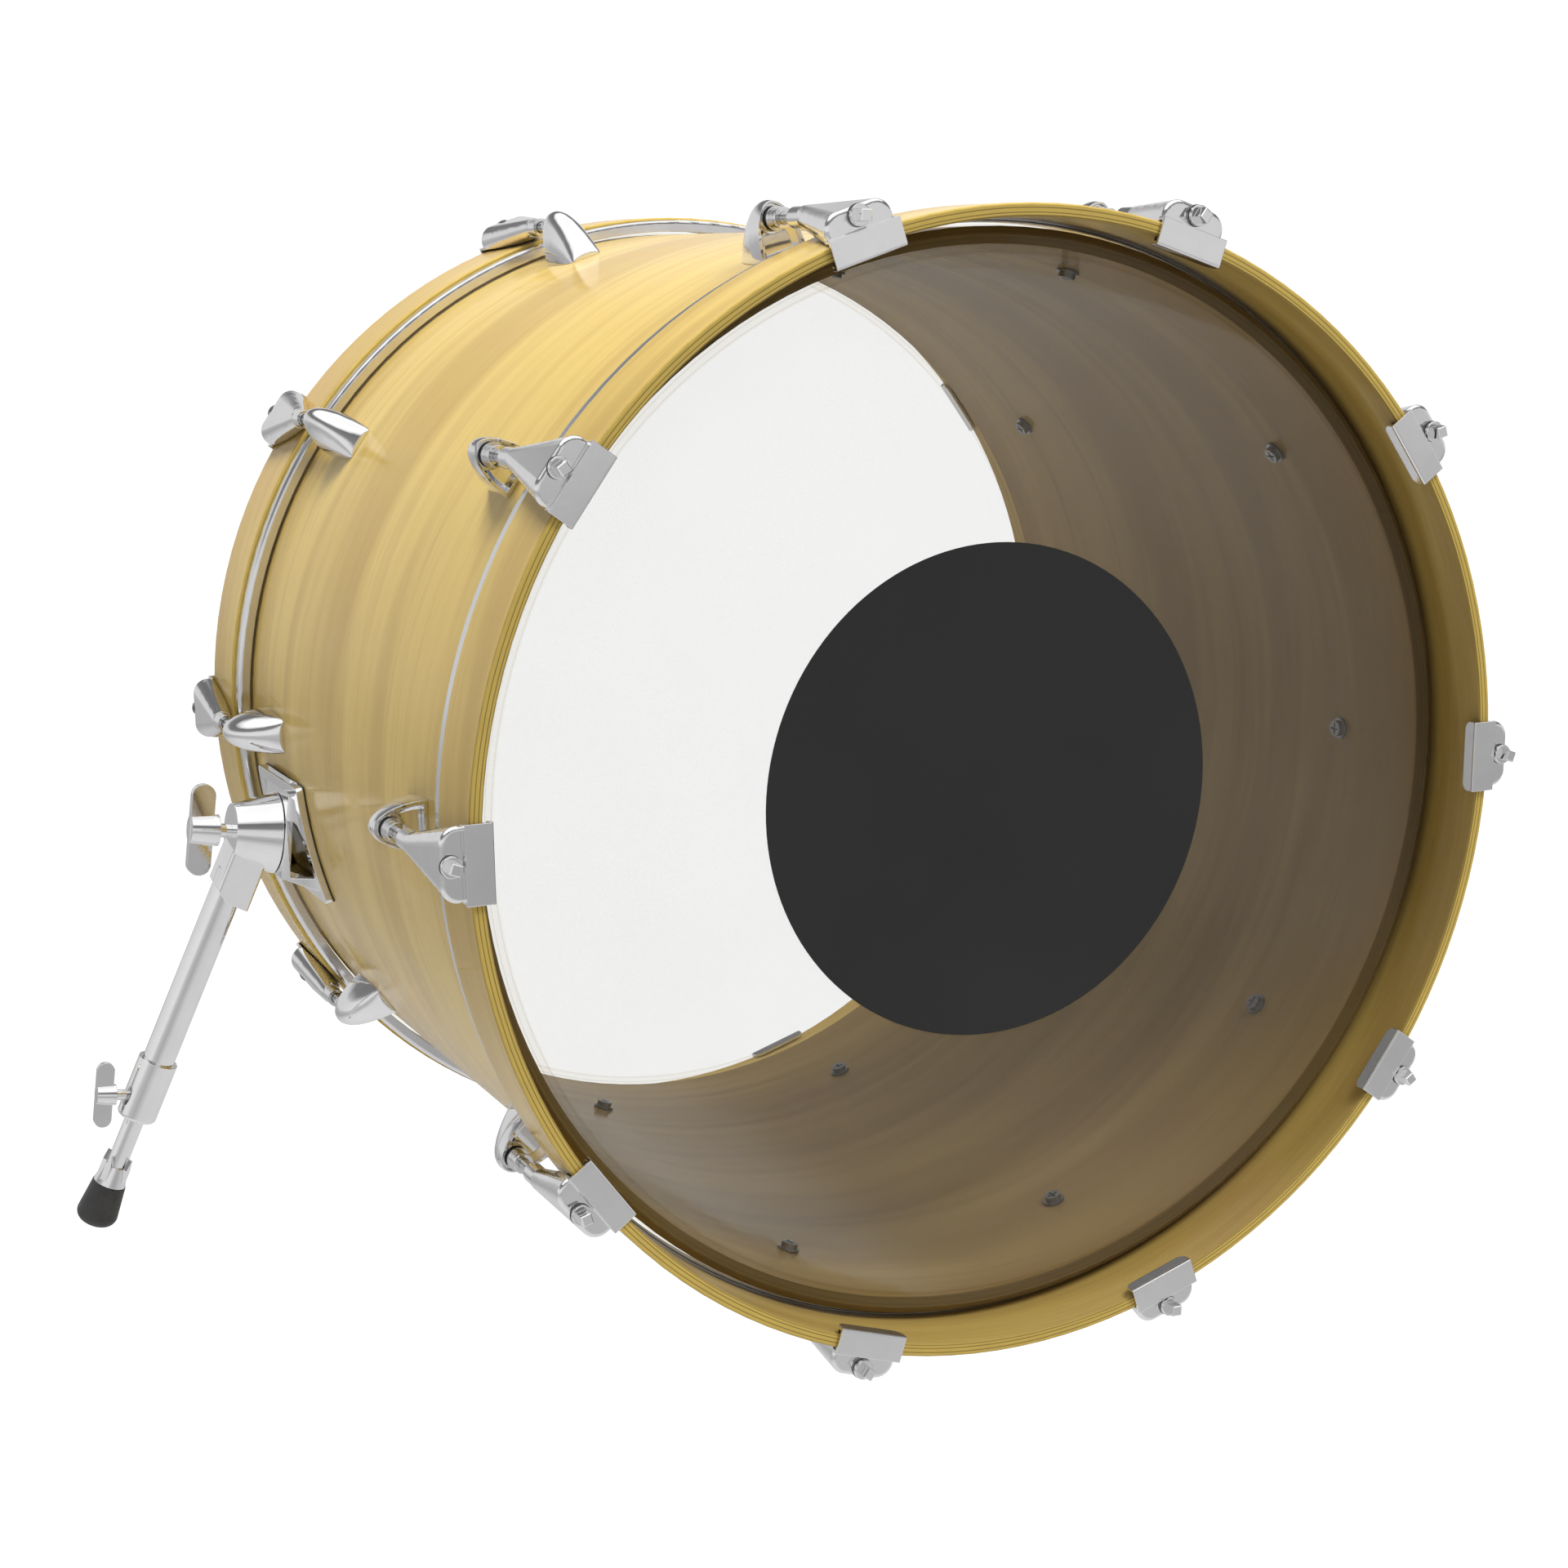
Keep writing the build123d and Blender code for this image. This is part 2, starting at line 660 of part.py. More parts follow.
# leg tube, fixed in the hub block
tube_start = 18.0
clamp_start = leg_length - 112.0
clamp_end = leg_length - 74.0
tube_end = clamp_end - 3.5
clamp_plane = Plane(
    origin=leg_top + leg_plane.z_dir * (leg_length - 89.0), x_dir=(0, 1, 0), z_dir=outward
)
with BuildPart() as leg_tube:
    with BuildSketch(leg_plane.offset(tube_start)):
        Circle(leg_radius)
        Circle(inner_radius + leg_fit, mode=Mode.SUBTRACT)
    extrude(amount=tube_end - tube_start)
    with BuildSketch(clamp_plane):
        Circle(clamp_screw_radius + 0.4)
    extrude(amount=20, mode=Mode.SUBTRACT)
both_sides(leg_tube, "spur_leg_tube")

# clamp collar, split on the screw's side
with BuildPart() as clamp:
    with BuildSketch(leg_plane.offset(clamp_start)):
        Circle(clamp_radius)
    extrude(amount=clamp_end - clamp_start)
    bottom_rim = clamp.edges().filter_by(GeomType.CIRCLE).sort_by(Axis.Z)[0]
    fillet(bottom_rim, radius=2.5)
    with BuildSketch(leg_plane.offset(clamp_start)):
        Circle(leg_radius)
    extrude(amount=tube_end - clamp_start, mode=Mode.SUBTRACT)
    with BuildSketch(leg_plane.offset(clamp_start)):
        Circle(inner_radius + leg_fit)
    extrude(amount=clamp_end - clamp_start, mode=Mode.SUBTRACT)
    with BuildSketch(leg_plane.offset(clamp_start)):
        with Locations((0, clamp_radius)):
            Rectangle(1.4, 8)
    extrude(amount=12, mode=Mode.SUBTRACT)
    with BuildSketch(clamp_plane):
        Circle(clamp_screw_radius + fit)
    extrude(amount=20, mode=Mode.SUBTRACT)
both_sides(clamp, "spur_clamp")

clamp_screw = wing_bolt(clamp_plane, clamp_screw_radius, 7.6, 17.0, 6.2, 11.0, 39.0, 10.0, 3.6)
both_sides(clamp_screw, "spur_clamp_screw")

# inner leg, ferrule and rubber foot
inner_start = clamp_start - 70.0
ferrule_top = leg_length - 42.0
ferrule_low = leg_length - 30.0
with BuildPart() as inner_leg:
    with BuildSketch(leg_plane.offset(inner_start)):
        Circle(inner_radius)
    extrude(amount=leg_length - 20.0 - inner_start)
both_sides(inner_leg, "spur_inner_leg")

foot_center = leg_length - (foot_corner + (foot_radius - foot_corner) * sin_lean) / cos_lean
section = Plane(origin=leg_top, x_dir=leg_plane.x_dir, z_dir=leg_plane.y_dir * -1)
with BuildPart() as ferrule:
    with BuildSketch(section):
        with BuildLine():
            Polyline(
                (inner_radius, ferrule_top),
                (inner_radius + 1.1, ferrule_top),
                (9.6, ferrule_low),
                (inner_radius, ferrule_low),
                close=True,
            )
        make_face()
    revolve(axis=leg_axis)
    # four raised ribs, one on each quarter
    for quarter in range(4):
        turn = radians(45 + 90 * quarter)
        side = leg_plane.x_dir * cos(turn) + leg_plane.y_dir * sin(turn)
        tab_plane = Plane(origin=leg_top + side * inner_radius, x_dir=leg_plane.z_dir, z_dir=side)
        with BuildSketch(tab_plane.offset(0.4)):
            with BuildLine():
                Polyline(
                    (ferrule_top - 7, 0),
                    (ferrule_top, -2.0),
                    (ferrule_low, -2.0),
                    (ferrule_low, 2.0),
                    (ferrule_top, 2.0),
                    close=True,
                )
            make_face()
        extrude(amount=2.6)
both_sides(ferrule, "spur_ferrule")

with BuildPart() as foot:
    with BuildSketch(section):
        with BuildLine():
            bore = inner_radius + leg_fit
            mouth = ferrule_low + foot_gap
            well = leg_length - 20.0 + foot_gap
            low = foot_center + foot_corner
            Polyline((bore, mouth), (9.9, mouth), (foot_radius, foot_center))
            RadiusArc((foot_radius, foot_center), (foot_radius - foot_corner, low), -foot_corner)
            Polyline((foot_radius - foot_corner, low), (0, low), (0, well), (bore, well), (bore, mouth))
        make_face()
    revolve(axis=leg_axis)
both_sides(foot, "spur_foot")
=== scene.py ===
"""The looks of the bass drum: finishes for its CAD nodes, two lathed heads, a studio, a camera."""

from math import cos, pi, radians, sin

import bmesh
import bpy
from mathutils import Matrix, Vector


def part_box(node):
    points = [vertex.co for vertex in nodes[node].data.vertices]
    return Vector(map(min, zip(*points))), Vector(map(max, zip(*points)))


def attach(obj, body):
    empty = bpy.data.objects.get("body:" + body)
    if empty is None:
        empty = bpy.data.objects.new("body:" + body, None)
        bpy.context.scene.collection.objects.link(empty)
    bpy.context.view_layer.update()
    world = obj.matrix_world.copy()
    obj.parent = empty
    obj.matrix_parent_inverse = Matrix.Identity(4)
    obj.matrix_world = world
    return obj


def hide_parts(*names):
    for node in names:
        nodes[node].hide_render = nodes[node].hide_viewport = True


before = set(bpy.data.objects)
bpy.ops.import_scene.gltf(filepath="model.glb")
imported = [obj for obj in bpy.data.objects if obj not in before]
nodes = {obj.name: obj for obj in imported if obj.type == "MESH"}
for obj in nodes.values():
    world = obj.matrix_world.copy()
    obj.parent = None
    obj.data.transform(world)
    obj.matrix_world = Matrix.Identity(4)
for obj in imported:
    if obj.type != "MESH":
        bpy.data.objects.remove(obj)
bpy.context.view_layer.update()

# The drum lies along Y with its middle at y = 0. Lengths are in metres, read from the parts in
# model.glb where it has them.
shell_low, shell_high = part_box("shell")
hoop_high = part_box("resonant_hoop")[1]
AXIS_Z = (shell_low.z + shell_high.z) / 2
HALF = hoop_high.y  # middle of the drum to the front of a hoop
HOOP_WALL = 0.0066
HOOP_INNER = hoop_high.x - HOOP_WALL
PLY = 0.0022  # a hoop is three plies thick
MID_WALL = 0.2755  # radius inside the shell's wall, past which its inside is darkened with painted shade
EDGE_DEPTH = 0.0392  # how far in from the hoops' fronts the bearing edges end; they are darkened with painted shade
THREAD_PITCH = 0.00106
THREAD_DEPTHS = (0.060, 0.064)  # how far in the rods' threads fade in
RUBBER_DEPTHS = (0.0888, 0.0915)  # where the rubber ring of a swivel nut begins and ends
COLLAR_RADII = (0.2658, 0.2668)  # where a head's flat film turns into its collar
COLLAR_LINES = 0.0031  # from one pressed line of the collar to the next


# ---------------------------------------------------------------- node helpers
class Tree:
    """An emptied node tree, with short calls for the nodes used here."""

    def __init__(self, owner, coordinates="Object"):
        owner.use_nodes = True
        self.owner = owner
        self.tree = owner.node_tree
        self.tree.nodes.clear()
        self.place = self.node("ShaderNodeTexCoord").outputs[coordinates]

    def node(self, kind, **settings):
        made = self.tree.nodes.new(kind)
        for key, value in settings.items():
            setattr(made, key, value)
        return made

    def put(self, socket, value):
        """Link a socket to another, or set its value. A colour needs no alpha."""
        if isinstance(value, bpy.types.NodeSocket):
            self.tree.links.new(value, socket)
        elif isinstance(value, tuple) and len(value) == 3 and socket.type == "RGBA":
            socket.default_value = (*value, 1.0)
        else:
            socket.default_value = value

    def math(self, operation, *values):
        made = self.node("ShaderNodeMath", operation=operation)
        for socket, value in zip(made.inputs, values):
            self.put(socket, value)
        return made.outputs[0]

    def split(self, vector=None):
        """The X, Y and Z of a vector, or of the place on the object."""
        made = self.node("ShaderNodeSeparateXYZ")
        self.put(made.inputs[0], vector or self.place)
        return made.outputs

    def radius(self):
        """Distance from the drum axis."""
        x, _, z = self.split()
        height = self.math("SUBTRACT", z, AXIS_Z)
        squares = self.math("ADD", self.math("POWER", x, 2.0), self.math("POWER", height, 2.0))
        return self.math("SQRT", squares)

    def depth(self):
        """Distance in from the front of the nearer hoop, along the drum axis."""
        return self.math("SUBTRACT", HALF, self.math("ABSOLUTE", self.split()[1]))

    def noise(self, scale, detail, roughness=0.55, distortion=0.0, vector=None):
        """Noise with features 1 / scale metres long; the scale may differ by axis."""
        sized = self.node("ShaderNodeMapping")
        self.put(sized.inputs["Vector"], vector or self.place)
        sized.inputs["Scale"].default_value = scale if isinstance(scale, tuple) else (scale,) * 3
        made = self.node("ShaderNodeTexNoise")
        self.put(made.inputs["Vector"], sized.outputs[0])
        made.inputs["Scale"].default_value = 1.0
        made.inputs["Detail"].default_value = detail
        made.inputs["Roughness"].default_value = roughness
        made.inputs["Distortion"].default_value = distortion
        return made.outputs["Fac"]

    def span(self, value, low, high, to_low=0.0, to_high=1.0, smooth=False):
        """A value from low to high, mapped to the range from to_low to to_high and clamped."""
        kind = "SMOOTHSTEP" if smooth else "LINEAR"
        made = self.node("ShaderNodeMapRange", interpolation_type=kind)
        self.put(made.inputs["Value"], value)
        for key, number in (
            ("From Min", low), ("From Max", high), ("To Min", to_low), ("To Max", to_high),
        ):
            made.inputs[key].default_value = number
        return made.outputs[0]

    def mix(self, factor, a, b, blend="MIX"):
        made = self.node("ShaderNodeMix", data_type="RGBA", blend_type=blend)
        self.put(made.inputs[0], factor)
        self.put(made.inputs[6], a)
        self.put(made.inputs[7], b)
        return made.outputs[2]

    def with_painted_shade(self, factor, tone, shade_colour):
        """A colour multiplied by a darker shade colour where the factor is 1: painted shade."""
        return self.mix(factor, tone, self.mix(1.0, tone, shade_colour, "MULTIPLY"))

    def bump(self, height, strength, distance, normal=None):
        made = self.node("ShaderNodeBump")
        self.put(made.inputs["Height"], height)
        made.inputs["Strength"].default_value = strength
        made.inputs["Distance"].default_value = distance
        if normal is not None:
            self.put(made.inputs["Normal"], normal)
        return made.outputs[0]

    def round_edges(self, radius):
        made = self.node("ShaderNodeBevel", samples=4)
        made.inputs["Radius"].default_value = radius
        return made.outputs[0]

    def shader(self, kind, **values):
        """A shader node's output; each value goes to the socket of that name."""
        made = self.node(kind)
        for key, value in values.items():
            self.put(made.inputs[key.replace("_", " ")], value)
        return made.outputs[0]

    def principled(self, **values):
        return self.shader("ShaderNodeBsdfPrincipled", **values)

    def mix_shaders(self, factor, a, b):
        made = self.node("ShaderNodeMixShader")
        for socket, value in zip(made.inputs, (factor, a, b)):
            self.put(socket, value)
        return made.outputs[0]

    def finished(self, shader, kind="ShaderNodeOutputMaterial"):
        """Show this shader, and return the material or world."""
        self.put(self.node(kind).inputs["Surface"], shader)
        return self.owner


def material_tree(name):
    return Tree(bpy.data.materials.new(name))


def grey(tone):
    return (tone, tone, tone)


# ------------------------------------------------------------------- materials
LIGHT = (0.64, 0.465, 0.140)
DARK = (0.49, 0.335, 0.095)
BLUSH = (0.50, 0.300, 0.140)
PORE = (0.16, 0.09, 0.03)
PLY_GOLD = (0.78, 0.56, 0.135)
PLY_GLUE = (DARK[0] * 0.45, DARK[1] * 0.42, DARK[2] * 0.4)


def veneer(t, streak):
    """Maple veneer with its grain round the drum: its colour, and its fibres for the bump."""
    # The grain wanders up to 50 mm along the drum as it goes round.
    wander = t.node("ShaderNodeVectorMath", operation="MULTIPLY_ADD")
    t.put(wander.inputs[0], t.noise((2.2, 3.0, 2.2), 2.0))
    wander.inputs[1].default_value = (0.0, 0.05, 0.0)
    t.put(wander.inputs[2], t.place)
    along = wander.outputs[0]
    broad = t.noise((1.5, 20.0, 1.5), 3.0, 0.5, 0.5, along)
    bands = t.noise((3.0, 75.0, 3.0), 5.0, 0.6, 0.35, along)
    fibre = t.noise((26.0, 900.0, 26.0), 3.0, 0.6, 0.0, along)
    pores = t.noise((60.0, 1900.0, 60.0), 2.0, 0.5, 0.0, along)
    figure = t.noise((9.0, 6.0, 9.0), 2.0, 0.5, 0.4, along)
    tone = t.mix(t.span(broad, 0.38, 0.68, smooth=True), LIGHT, DARK)
    tone = t.mix(t.span(bands, 0.46, 0.74, 0.0, 0.55 * streak, smooth=True), tone, DARK)
    tone = t.mix(t.span(figure, 0.55, 0.8, 0.0, 0.4 * streak, smooth=True), tone, BLUSH)
    tone = t.mix(t.span(fibre, 0.35, 0.7, 0.0, 0.16), tone, DARK, "MULTIPLY")
    tone = t.mix(t.span(pores, 0.62, 0.75, 0.0, 0.12), tone, PORE)
    return tone, fibre


def lacquered(t, tone, fibre):
    """Wood of this colour under a thin clear coat."""
    return t.finished(t.principled(
        Base_Color=tone,
        Roughness=t.span(t.noise(30, 3.0), 0.3, 0.7, 0.2, 0.27),
        Normal=t.bump(fibre, 0.06, 0.0004),
        Coat_Weight=0.26,
        Coat_Roughness=0.05,
        Specular_IOR_Level=0.05,
    ))


def shell_maple(name):
    """Veneer with painted shade on the shell's inside, and darker painted shade at its bearing
    edges.
    """
    t = material_tree(name)
    tone, fibre = veneer(t, 1.0)
    # Painted shade: the shell's inside is multiplied by a grey-blue tone to darken it.
    inside_painted_shade = t.span(t.radius(), MID_WALL, MID_WALL - 0.0008)
    tone = t.with_painted_shade(inside_painted_shade, tone, (0.62, 0.60, 0.66))
    # Painted shade: the bearing edges, deep under the hoops and heads, are multiplied darker
    # still.
    edge_painted_shade = t.span(t.depth(), EDGE_DEPTH, EDGE_DEPTH - 0.0012, 0.0, 0.85, smooth=True)
    tone = t.with_painted_shade(edge_painted_shade, tone, (0.40, 0.38, 0.34))
    return lacquered(t, tone, fibre)


def hoop_maple(name):
    """Veneer on the flat of a hoop, with the plies and glue lines showing on its front edge."""
    t = material_tree(name)
    tone, fibre = veneer(t, 0.8)
    normal = t.split(t.node("ShaderNodeNewGeometry").outputs["Normal"])
    front = t.span(t.math("ABSOLUTE", normal[1]), 0.55, 0.85, smooth=True)
    waver = t.math("MULTIPLY", t.noise(25, 2.0), 0.0004)
    across = t.math("ADD", t.math("SUBTRACT", t.radius(), HOOP_INNER), waver)
    ply = t.math("FRACT", t.math("DIVIDE", across, PLY))
    off_middle = t.math("ABSOLUTE", t.math("SUBTRACT", ply, 0.5))
    glue = t.span(off_middle, 0.33, 0.43, smooth=True)
    rim = t.span(across, 0.0012, 0.0007, smooth=True)
    plies = t.mix(t.span(t.noise(60, 3.0), 0.35, 0.7, 0.0, 0.4), PLY_GOLD, LIGHT)
    plies = t.mix(t.math("MULTIPLY", t.math("MAXIMUM", glue, rim), 0.75), plies, PLY_GLUE)
    return lacquered(t, t.mix(front, tone, plies), fibre)


def chrome(name, tone, low, high, peel, edge=0.0006):
    """Bright plating: faint orange peel, hazy patches and rounded edges."""
    t = material_tree(name)
    haze = t.noise(45, 4.0, 0.6)
    wipe = t.noise((300, 900, 300), 3.0, 0.6)
    bright, dull = (tone, tone, tone * 1.005), (tone * 0.93, tone * 0.93, tone * 0.945)
    rough = t.math("ADD", t.span(haze, 0.35, 0.7, low, high), t.span(wipe, 0.5, 0.8, 0.0, 0.03))
    return t.finished(t.principled(
        Base_Color=t.mix(t.span(haze, 0.3, 0.75), bright, dull),
        Metallic=1.0,
        Roughness=rough,
        Normal=t.bump(t.noise(160, 2.0), peel, 0.0006, t.round_edges(edge)),
    ))


def threaded(name):
    """A chromed rod with its thread cut round it, past its plain shank; painted shade darkens the
    thread's roots.
    """
    t = material_tree(name)
    turn = t.math("SINE", t.math("MULTIPLY", t.split()[1], 2 * pi / THREAD_PITCH))
    cut = t.span(t.depth(), *THREAD_DEPTHS, smooth=True)
    # Painted shade: the chrome is darker in the roots of the thread.
    root_painted_shade = t.math("MULTIPLY", t.span(turn, -1.0, 0.2, 1.0, 0.0), cut)
    return t.finished(t.principled(
        Base_Color=t.mix(root_painted_shade, grey(0.82), (0.55, 0.55, 0.56)),
        Metallic=1.0,
        Roughness=t.span(t.noise(90, 4.0, 0.6), 0.35, 0.7, 0.08, 0.16),
        Normal=t.bump(t.math("MULTIPLY", turn, cut), 0.4, 0.0003, t.round_edges(0.0004)),
    ))


def rolled_aluminium(name):
    """Bright rolled strip with fine lines round the ring."""
    t = material_tree(name)
    lines = t.noise((30, 2600, 30), 3.0, 0.6)
    return t.finished(t.principled(
        Base_Color=t.mix(t.span(lines, 0.3, 0.7), grey(0.80), (0.70, 0.70, 0.71)),
        Metallic=1.0,
        Roughness=t.span(t.noise(25, 3.0), 0.3, 0.7, 0.12, 0.2),
        Normal=t.bump(lines, 0.05, 0.0003, t.round_edges(0.0005)),
    ))


def plain_steel(name, tone, low, high):
    """Zinc plated steel, clouded all over."""
    t = material_tree(name)
    haze = t.noise(120, 4.0, 0.6)
    dull = (tone * 0.7, tone * 0.7, tone * 0.68)
    return t.finished(t.principled(
        Base_Color=t.mix(t.span(haze, 0.3, 0.7), grey(tone), dull),
        Metallic=1.0,
        Roughness=t.span(haze, 0.3, 0.7, low, high),
        Normal=t.bump(haze, 0.08, 0.0004, t.round_edges(0.0003)),
    ))


def rubber(name, tone=0.03, low=0.42, high=0.62):
    """Black rubber or nylon with a fine tooth, dusty in patches."""
    t = material_tree(name)
    dust = t.noise(60, 4.0, 0.6)
    dusty = (tone * 2.1, tone * 2.1, tone * 2.0)
    return t.finished(t.principled(
        Base_Color=t.mix(t.span(dust, 0.45, 0.8), grey(tone), dusty),
        Roughness=t.span(dust, 0.3, 0.7, low, high),
        Normal=t.bump(t.noise(900, 3.0, 0.6), 0.15, 0.0003, t.round_edges(0.0006)),
    ))


def ring_pair(name):
    """A thin rubber ring next to a chromed seat ring, told apart by their depth."""
    t = material_tree(name)
    depth = t.depth()
    start, end = RUBBER_DEPTHS
    past, short = t.math("GREATER_THAN", depth, start), t.math("LESS_THAN", depth, end)
    seat = t.math("SUBTRACT", 1.0, t.math("MULTIPLY", past, short))
    haze = t.noise(120, 4.0, 0.6)
    rubber_rough, polish = t.span(haze, 0.3, 0.7, 0.46, 0.54), t.math("MULTIPLY", seat, 0.38)
    return t.finished(t.principled(
        Base_Color=t.mix(seat, grey(0.03), grey(0.82)),
        Metallic=seat,
        Roughness=t.math("SUBTRACT", rubber_rough, polish),
        Normal=t.bump(haze, 0.05, 0.0003, t.round_edges(0.0004)),
    ))


def dot_black(name):
    """Black polyester bonded to the head, with a faint even tooth."""
    t = material_tree(name)
    cloud = t.noise(9, 3.0)
    return t.finished(t.principled(
        Base_Color=t.mix(t.span(cloud, 0.3, 0.7), grey(0.0275), grey(0.0325)),
        Roughness=t.span(cloud, 0.3, 0.7, 0.38, 0.44),
        Specular_IOR_Level=0.25,
        Normal=t.bump(t.noise(700, 2.0), 0.04, 0.0002),
    ))


def clear_film(name, haze):
    """Clear drum head film: what is behind shows straight through, under a thin gloss."""
    t = material_tree(name)
    radius = t.radius()
    cloud = t.noise(7, 3.0)
    collar = t.span(radius, *COLLAR_RADII, smooth=True)
    clouded = t.span(cloud, 0.3, 0.7, haze * 0.92, haze * 1.08)
    share = t.math("MULTIPLY", clouded, t.span(collar, 0.0, 1.0, 1.0, 0.45))
    ridge = t.math("SINE", t.math("MULTIPLY", radius, 2 * pi / COLLAR_LINES))
    line = t.math("MULTIPLY", t.span(ridge, 0.55, 0.95, smooth=True), collar)
    tint = t.mix(collar, (1.0, 1.0, 1.0), (0.945, 0.94, 0.92))
    tint = t.mix(line, tint, (0.90, 0.885, 0.86))
    see = t.shader("ShaderNodeBsdfTransparent", Color=tint)
    gloss = t.principled(
        Base_Color=(0.44, 0.44, 0.42),
        Roughness=t.span(cloud, 0.3, 0.7, 0.10, 0.14),
        IOR=1.6,
    )
    return t.finished(t.mix_shaders(share, see, gloss))


maple_round = shell_maple("maple_shell")
maple_plied = hoop_maple("maple_hoop")
chrome_smooth = chrome("chrome_smooth", 0.86, 0.02, 0.05, 0.015)
chrome_cast = chrome("chrome_cast", 0.85, 0.025, 0.06, 0.03, 0.0008)
chrome_pressed = chrome("chrome_pressed", 0.85, 0.03, 0.07, 0.02, 0.0007)
chrome_thread = threaded("chrome_thread")
aluminium = rolled_aluminium("rolled_aluminium")
steel = plain_steel("zinc_steel", 0.30, 0.25, 0.4)
black_rubber = rubber("black_rubber")
ring_rubber_and_seat = ring_pair("rubber_and_seat_rings")
black_nylon = rubber("black_nylon", 0.025, 0.32, 0.45)
dot_polyester = dot_black("dot_black")
film = clear_film("clear_film", 0.068)

# A CAD node takes the first finish here that lists its name, or the end of its name.
FINISHES = (
    (maple_round, ("shell",)),
    (aluminium, ("_flesh_hoop",)),
    (maple_plied, ("_hoop",)),
    (film, ("_head",)),
    (dot_polyester, ("batter_dot",)),
    (ring_rubber_and_seat, ("swivel_nut_rings",)),
    (black_rubber, ("claw_pads", "spur_gaskets", "_foot")),
    (black_nylon, ("rod_nylon_washers",)),
    (steel, ("rod_steel_washers", "lug_screws", "spur_bracket_screws", "spur_pivot_nuts")),
    (chrome_pressed, ("_claws",)),
    (chrome_thread, tuple(f"_rod_{number:02d}" for number in range(1, 11))),
    (chrome_cast, ("_lugs", "_bracket", "_hub")),
    (chrome_smooth, ("",)),
)
for name, thing in nodes.items():
    thing.data.materials.clear()
    thing.data.materials.append(next(look for look, ends in FINISHES if name.endswith(ends)))
    for face in thing.data.polygons:
        face.material_index = 0


# ------------------------------------------------------------------- the heads
def lathed(name, profile, end, steps=288):
    """A closed disc about the drum axis, at its -Y end (end = -1) or +Y end (end = 1).

    The profile is a list of (radius, depth in from the hoop's front), in mm.
    """
    work = bmesh.new()
    rings = []
    for radius, depth in profile:
        r, y = radius / 1000, end * (HALF - depth / 1000)
        angles = [2 * pi * i / steps for i in range(steps)] if r else [0.0]
        rings.append([work.verts.new((r * cos(a), y, AXIS_Z + r * sin(a))) for a in angles])
    for a, b in zip(rings, rings[1:]):
        for i in range(steps):
            j = (i + 1) % steps
            corners = [a[i % len(a)], a[j % len(a)], b[j % len(b)], b[i % len(b)]]
            work.faces.new(list(dict.fromkeys(corners)))
    bmesh.ops.recalc_face_normals(work, faces=work.faces)
    mesh = bpy.data.meshes.new(name)
    work.to_mesh(mesh)
    work.free()
    mesh.polygons.foreach_set("use_smooth", [True] * len(mesh.polygons))
    made = bpy.data.objects.new(name, mesh)
    bpy.context.scene.collection.objects.link(made)
    return made


FLAT = 34.0  # how far in the flat film lies
BACK_FLAT = 34.4
CROWNS = (267.6, 270.7, 273.8, 276.4)  # radii of the pressed ridges
# One ridge: radius from its crown, and how far it stands proud of the flat film.
RIDGE = ((-0.9, 0.05), (-0.4, 0.45), (0.1, 0.55), (0.6, 0.3), (1.1, 0.0))
# Flat film and four ridges, then the collar down over the bearing edge to the skirt.
FACE = [(radius, FLAT) for radius in (0, 150, 240, 265.0, 266.0)]
FACE += [(crown + out, FLAT - proud) for crown in CROWNS for out, proud in RIDGE]
FACE += [(278.6, 35.2), (280.2, 36.7), (281.3, 38.8), (282.0, 41.5), (282.4, 44.6), (282.4, 52.0)]
# The film's other side, from the skirt back to the middle.
BACK = [(282.0, 52.0), (282.0, 44.8), (281.5, 41.8), (280.7, 39.3), (279.6, 37.6), (278.0, 36.1)]
BACK += [(radius, BACK_FLAT) for radius in (276.2, 150, 0)]
for end, side in ((-1, "batter"), (1, "resonant")):
    head = lathed(f"{side}_film", FACE + BACK, end)
    head.data.materials.append(film)
    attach(head, "drum")
    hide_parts(f"{side}_head")

# ------------------------------------------------------------------ the studio
WHITE = 1.1  # how bright the bare studio looks
FLOOR_FILL, FLOOR_FRONT = 0.86, 0.34  # what the floor returns under the drum, and before it
FLOOR_REACH = 9


def pale_floor(name):
    """A pale matt floor that the camera sees as bare white."""
    t = material_tree(name)
    before = t.span(t.split()[1], -0.25, -0.60, smooth=True)
    pale = t.mix(before, grey(FLOOR_FILL), grey(FLOOR_FRONT))
    clouds = t.span(t.noise(3, 3.0), 0.3, 0.7, 0.0, 0.06)
    lit = t.principled(
        Base_Color=t.mix(clouds, pale, grey(0.5)),
        Roughness=0.9,
        Specular_IOR_Level=0.0,
    )
    bare = t.shader("ShaderNodeEmission", Strength=WHITE)
    seen = t.node("ShaderNodeLightPath").outputs["Is Camera Ray"]
    return t.finished(t.mix_shaders(seen, lit, bare))


floor_mesh = bpy.data.meshes.new("floor")
floor_corners = [
    (x * FLOOR_REACH, y * FLOOR_REACH, 0) for x, y in ((-1, -1), (1, -1), (1, 1), (-1, 1))
]
floor_mesh.from_pydata(floor_corners, [], [(0, 1, 2, 3)])
floor_mesh.materials.append(pale_floor("floor_pale"))
floor = bpy.data.objects.new("floor", floor_mesh)
floor.visible_glossy = False
bpy.context.scene.collection.objects.link(floor)


def lamp(name, place, side, power):
    """A soft square lamp turned towards the drum's middle."""
    light = bpy.data.lights.new(name, "AREA")
    light.shape = "RECTANGLE"
    light.size = light.size_y = side
    light.energy = power
    made = bpy.data.objects.new(name, light)
    made.location = place
    made.visible_glossy = False
    aim = Vector((0.0, 0.0, 0.3)) - Vector(place)
    made.rotation_euler = aim.to_track_quat("-Z", "Y").to_euler()
    bpy.context.scene.collection.objects.link(made)


lamp("key", (-0.5, 0.25, 2.5), 0.9, 53)
lamp("front", (1.0, -1.5, 2.8), 1.3, 52)
lamp("back", (0.5, 2.6, 2.2), 1.4, 22)

